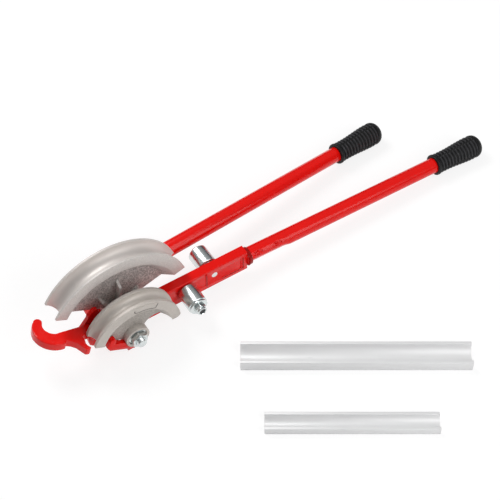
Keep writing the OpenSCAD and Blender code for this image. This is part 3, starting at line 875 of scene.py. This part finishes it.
class BENDER_OT_grips(bpy.types.Operator):
    """Ribbed rubber grips: lip, waist, bulge and rounded end, with four plain ridges"""

    bl_idname = "bender.grips"
    bl_label = "Grips"

    def execute(self, context):
        sizes = looks().sizes
        # Painted light: the rings get a lighter copy of the rubber as a painted highlight, and the core under them
        # a darker copy as painted shade.
        core_shade, crest_gain = 0.5, 2.6
        black = rubber("grip_rubber", [c * core_shade for c in looks().paint.rubber])
        crest = rubber("ring_rubber", [c * crest_gain for c in looks().paint.rubber])
        tree = rib_tree()
        for node, tube in (("fixed_handle_grip", "fixed_handle_tube"), ("lever_grip", "lever_tube")):
            start, direction, length = axis_of(node, tube)
            start, direction = start + direction * length, -direction
            place = Matrix.Translation(start) @ turned_to(direction)
            core = self.core(node + "_core", length, sizes.rib_height, black)
            core.data.transform(place)
            ribs = grown(node + "_ribs", tree, {
                "Count": sizes.rib_count, "First": 8.2 * MM, "Pitch": 4.95 * MM, "Width": 2.7 * MM,
                "Height": sizes.rib_height, "Waist": 13.2 * MM, "Bulge": 15.32 * MM,
                "Waist End": WAIST_END * length, "Bulge Start": BULGE_START * length,
                "Taper": 1.15 * MM, "Taper Start": 0.78 * length, "Taper End": 0.91 * length,
                "Strip Angle": 0.12, "Material": crest,
            }, place)
            whole = shade(join([core, ribs], node + "_rubber"), 50.0)
            stands_for(whole, node)
        return {"FINISHED"}

    def core(self, name, length, rib, material):
        """The grip under its rings, along Z from its mouth at 0."""
        waist, swell, tail_fill, tail_power = 13.0 * MM, 2.4 * MM, 0.9, 2.4
        begin, end_gap, steps, crowding = 5.2 * MM, 0.12 * MM, 74, 1.35
        ridge_start, ridge_half, ridge_share, least_radius = 5.0 * MM, 1.1 * MM, 0.95, 5.0 * MM
        count, quarter = 96, math.pi / 2

        def outline(at):
            radius = waist + swell * smoothstep(at, WAIST_END * length, BULGE_START * length) - rib
            tail = (at - TAIL_START * length) / ((1 - TAIL_START) * length)
            if tail > 0:
                radius = (radius + rib * tail_fill) * math.sqrt(max(0.0, 1 - tail**tail_power))
            return radius

        # The mouth and its lip, as places along the grip and their radii.
        rows = [(0.35 * MM, 10.05 * MM), (0.0, 10.6 * MM), (0.0, 13.0 * MM), (0.35 * MM, 13.55 * MM),
                (1.1 * MM, 13.85 * MM), (3.2 * MM, 13.85 * MM), (4.2 * MM, 13.5 * MM), (4.9 * MM, 12.6 * MM)]
        for k in range(steps):
            share = k / (steps - 1)
            at = begin + (length - end_gap - begin) * (1 - (1 - share) ** crowding)
            rows.append((at, outline(at)))
        rings = []
        for at, radius in rows:
            ridged = radius > least_radius and ridge_start < at < TAIL_START * length
            ring = []
            for k in range(count):
                turn = 2 * math.pi * k / count
                off = (turn + quarter / 2) % quarter - quarter / 2
                ridge = max(0.0, 1 - (abs(off) * radius / ridge_half) ** 2) if ridged else 0.0
                r = radius + ridge * rib * ridge_share
                ring.append((r * math.cos(turn), r * math.sin(turn), at))
            rings.append(ring)
        return new_object(name, shell(name, rings), material)


class BENDER_OT_rollers(bpy.types.Operator):
    """Plated rollers with their pins, washers and lock nut"""

    bl_idname = "bender.rollers"
    bl_label = "Rollers"

    def execute(self, context):
        bright = zinc("roller_zinc", looks().paint.zinc, rough=0.19)
        plate = zinc("washer_zinc", looks().paint.zinc, rough=0.20)
        for node in ("roller_22", "roller_15"):
            softened(node, node + "_plated", 0.5 * MM, bright, segments=3)
        for node in ("roller_22_axle", "roller_22_inner_washer", "roller_22_outer_washer",
                     "roller_15_inner_washer", "roller_15_outer_washer"):
            softened(node, node + "_plated", 0.35 * MM, plate)
        dark = plain_metal("stud_steel", (0.10, 0.10, 0.105), rough=0.38)
        softened("roller_15_axle", "roller_15_stud", 0.3 * MM, dark)
        self.lock_nut(plate)
        return {"FINISHED"}

    def lock_nut(self, plate):
        """The lock nut: a hexagon with a round collar, whose edges are turned off."""
        node = "roller_15_nut"
        hexagon_share, inset, mouth = 0.65, 0.5 * MM, 0.5 * MM
        crown, soft, face = 1.2 * MM, 0.35 * MM, 1.1 * MM
        low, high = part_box(node)
        stud_low, stud_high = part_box("roller_15_axle")
        centre = (low + high) / 2
        near, far = -high.y, -low.y
        flats, bore = high.z - low.z, (stud_high.z - stud_low.z) / 2
        step, collar = near + (far - near) * hexagon_share, flats / 2 - inset
        rings = [(near, bore)] + hexagon_rings(near, step, flats)
        rings += [(step, collar), (far - crown, collar), (far - soft, collar - soft),
                  (far, collar - face), (far, bore + mouth), (far - mouth, bore)]
        stands_for(lathe(node + "_turned", centre, rings, 96, plate, closed_ends=False), node)


class BENDER_OT_pivot(bpy.types.Operator):
    """Pivot bolt with its rolled thread, chamfered nut, washers and bush"""

    bl_idname = "bender.pivot"
    bl_label = "Pivot"

    def execute(self, context):
        mouth_width, mouth_depth, middle_radius = 0.8 * MM, 0.5 * MM, 0.1 * MM
        plain_end, thread_start, thread_stop = 14 * MM, 13.4 * MM, 0.6 * MM
        pitch, thread_depth = 1.75 * MM, 0.75 * MM
        point_length, point_drop, point_face = 0.3 * MM, 1.1 * MM, 1.7 * MM
        plate = zinc("bolt_zinc", looks().paint.zinc, rough=0.22, wear=0.10)
        for node in ("pivot_washer_front", "pivot_washer_rear", "thrust_washer_front", "thrust_washer_rear"):
            softened(node, node + "_plated", 0.3 * MM, plate)
        bronze = plain_metal("bronze", (0.48, 0.32, 0.13), rough=0.34)
        softened("pivot_bush", "pivot_bush_bronze", 0.3 * MM, bronze)
        nut_low, nut_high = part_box("pivot_nut")
        near, far = -nut_high.y, -nut_low.y
        low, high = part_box("pivot_bolt")
        tail, tip = -high.y, -low.y
        centre = Vector((PIVOT.x, 0, PIVOT.z))
        flats = nut_high.z - nut_low.z
        shank = self.shank_radius()
        rings = [(near, shank)] + hexagon_rings(near, far, flats)
        rings += [(far, shank + mouth_width), (far - mouth_depth, shank)]
        stands_for(lathe("pivot_nut_turned", centre, rings, 120, plate, closed_ends=False), "pivot_nut")
        seat = -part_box("pivot_washer_rear")[1].y
        rings = [(tail, middle_radius)] + hexagon_rings(tail, seat, flats)
        rings += [(seat, shank), (near - plain_end, shank)]
        rings += thread_rings(near - thread_start, tip - thread_stop, shank, pitch, thread_depth)
        rings += [(tip - point_length, shank - point_drop), (tip, shank - point_face), (tip, middle_radius)]
        stands_for(lathe("pivot_bolt_threaded", centre, rings, 96, plate), "pivot_bolt")
        return {"FINISHED"}

    def shank_radius(self):
        """The bolt's own radius, taken from the washer's bore."""
        mesh = merged_copy("pivot_washer_front")
        found = min(math.hypot(v.co.x - PIVOT.x, v.co.z - PIVOT.z) for v in mesh.vertices)
        bpy.data.meshes.remove(mesh)
        return found


class BENDER_OT_hook(bpy.types.Operator):
    """Forged hook, rounded all over and painted"""

    bl_idname = "bender.hook"
    bl_label = "Hook"

    def execute(self, context):
        red = enamel("forged_enamel", looks().paint.enamel, peel=0.10, rough=0.24, coat=0.6)
        obj = new_object("stop_hook_forged", merged_copy("stop_hook"), red)
        bevelled(obj, 2.2 * MM, 3, 50)
        grid = obj.modifiers.new("grid", "REMESH")
        grid.mode, grid.voxel_size, grid.adaptivity = "VOXEL", looks().sizes.forging, 0.0
        grid.use_smooth_shade = True
        flow = obj.modifiers.new("flow", "SMOOTH")
        flow.factor, flow.iterations = 0.5, 14
        applied(obj)
        obj.data.materials.clear()
        obj.data.materials.append(red)
        obj.data.shade_smooth()
        stands_for(obj, "stop_hook")
        return {"FINISHED"}


class BENDER_OT_guides(bpy.types.Operator):
    """Loose extruded pipe guides with die lines along them"""

    bl_idname = "bender.guides"
    bl_label = "Guides"

    def execute(self, context):
        for node in ("guide_22", "guide_15"):
            _, along, _ = axis_of(node, node)
            alloy = extruded(node + "_alloy", looks().paint.guide, along)
            softened(node, node + "_extruded", 0.35 * MM, alloy)
        return {"FINISHED"}


class BENDER_OT_stage(bpy.types.Operator):
    """Pale floor, soft lamps and the camera"""

    bl_idname = "bender.stage"
    bl_label = "Stage"

    def execute(self, context):
        stage, scene = looks().stage, context.scene
        low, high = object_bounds()
        middle = (low + high) / 2
        mesh = bpy.data.meshes.new("floor")
        reach = 60.0
        mesh.from_pydata([(middle.x + a * reach, middle.y + b * reach, CAD_BOX[0].z) for a, b in
                          ((-1, -1), (1, -1), (1, 1), (-1, 1))], [], [(0, 1, 2, 3)])
        new_object("floor", mesh, self.floor_finish(stage.lift))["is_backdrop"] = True
        self.lamp("key", middle + Vector((-0.35, 0.95, 1.25)), middle, size=0.8, power=stage.key)
        self.lamp("fill", middle + Vector((0.35, -1.2, 0.85)), middle, size=1.3, power=stage.fill)
        self.sky(scene, stage.sky)
        camera = bpy.data.objects.new("camera", bpy.data.cameras.new("camera"))
        scene.collection.objects.link(camera)
        camera.location = (-0.3417, -0.7949, 1.2384)
        camera.rotation_euler = [math.radians(a) for a in (38.22, -0.02, -32.93)]
        camera.data.sensor_width, camera.data.lens = 36.0, 91.56
        camera.data.clip_start, camera.data.clip_end = 0.01, 30.0
        scene.camera = camera
        scene.view_settings.view_transform = "Standard"
        return {"FINISHED"}

    def lamp(self, name, place, target, size, power):
        data = bpy.data.lights.new(name, "AREA")
        data.shape, data.size, data.energy = "DISK", size, power
        lamp = bpy.data.objects.new(name, data)
        bpy.context.scene.collection.objects.link(lamp)
        lamp.location = place
        lamp.rotation_mode = "QUATERNION"
        lamp.rotation_quaternion = (target - place).to_track_quat("-Z", "Y")

    def floor_finish(self, lift):
        """White to the camera and in reflections, with the object's shadow kept under it."""
        f = Finish("floor")
        seen = f.math("MAXIMUM", f.add("ShaderNodeLightPath", out="Is Camera Ray"),
                      f.add("ShaderNodeLightPath", out="Is Glossy Ray"))
        grain = f.noise(f.place, 6.0, 2.0, 0.5)
        tone = f.blend(grain, (0.86, 0.86, 0.865, 1.0), (0.89, 0.888, 0.888, 1.0))
        paint = f.add("ShaderNodeBsdfDiffuse", None, {"Color": tone, "Roughness": 0.5})
        glow = f.add("ShaderNodeEmission", None, {"Color": WHITE, "Strength": 1.12})
        both = f.add("ShaderNodeMixShader", None, [seen * lift, paint, glow])
        f.add("ShaderNodeOutputMaterial", None, [both])
        return f.material

    def sky(self, scene, strength):
        """Soft light from all round: a bright strip at the horizon, a dark band over it and a pale top."""
        world = bpy.data.worlds.new("sky")
        world.use_nodes = True
        scene.world = world
        g = Graph(world.node_tree)
        world.node_tree.nodes.clear()
        up = g.parts(g.add("ShaderNodeTexCoord", out="Generated"))[2]
        tone = g.add("ShaderNodeValToRGB", {"stops": [
            (0.0, (0.8, 0.8, 0.8, 1.0)), (0.495, (2.8, 2.8, 2.8, 1.0)), (0.515, (2.8, 2.8, 2.8, 1.0)),
            (0.545, (0.04, 0.04, 0.042, 1.0)), (0.61, (0.10, 0.10, 0.104, 1.0)),
            (0.72, (0.60, 0.60, 0.61, 1.0)), (0.86, (1.0, 1.0, 1.0, 1.0)), (1.0, (1.1, 1.1, 1.1, 1.0)),
        ]}, [up * 0.5 + 0.5])
        back = g.add("ShaderNodeBackground", None, {"Color": tone, "Strength": strength})
        g.add("ShaderNodeOutputWorld", None, [back])


OPERATORS = (BENDER_OT_formers, BENDER_OT_steelwork, BENDER_OT_tubes, BENDER_OT_grips, BENDER_OT_rollers,
             BENDER_OT_pivot, BENDER_OT_hook, BENDER_OT_guides, BENDER_OT_stage)


class BENDER_PT_sidebar(bpy.types.Panel):
    """Lists the tube bender's operators and settings"""

    bl_idname = "BENDER_PT_sidebar"
    bl_label = "Tube Bender"
    bl_space_type = "VIEW_3D"
    bl_region_type = "UI"
    bl_category = "Tube Bender"

    def draw(self, context):
        for operator in OPERATORS:
            self.layout.operator(operator.bl_idname)
        for group in ("paint", "sizes", "stage"):
            box = self.layout.box()
            settings = getattr(looks(), group)
            for name in settings.__annotations__:
                box.prop(settings, name)


CLASSES = (BenderPaint, BenderSizes, BenderStage, BenderLooks, *OPERATORS, BENDER_PT_sidebar)


def register():
    for cls in CLASSES:
        bpy.utils.register_class(cls)
    bpy.types.Scene.tube_bender = PointerProperty(type=BenderLooks)


def unregister():
    del bpy.types.Scene.tube_bender
    for cls in reversed(CLASSES):
        bpy.utils.unregister_class(cls)


def main():
    register()
    for operator in OPERATORS:
        group, name = operator.bl_idname.split(".")
        getattr(getattr(bpy.ops, group), name)()


if __name__ == "__main__":
    main()
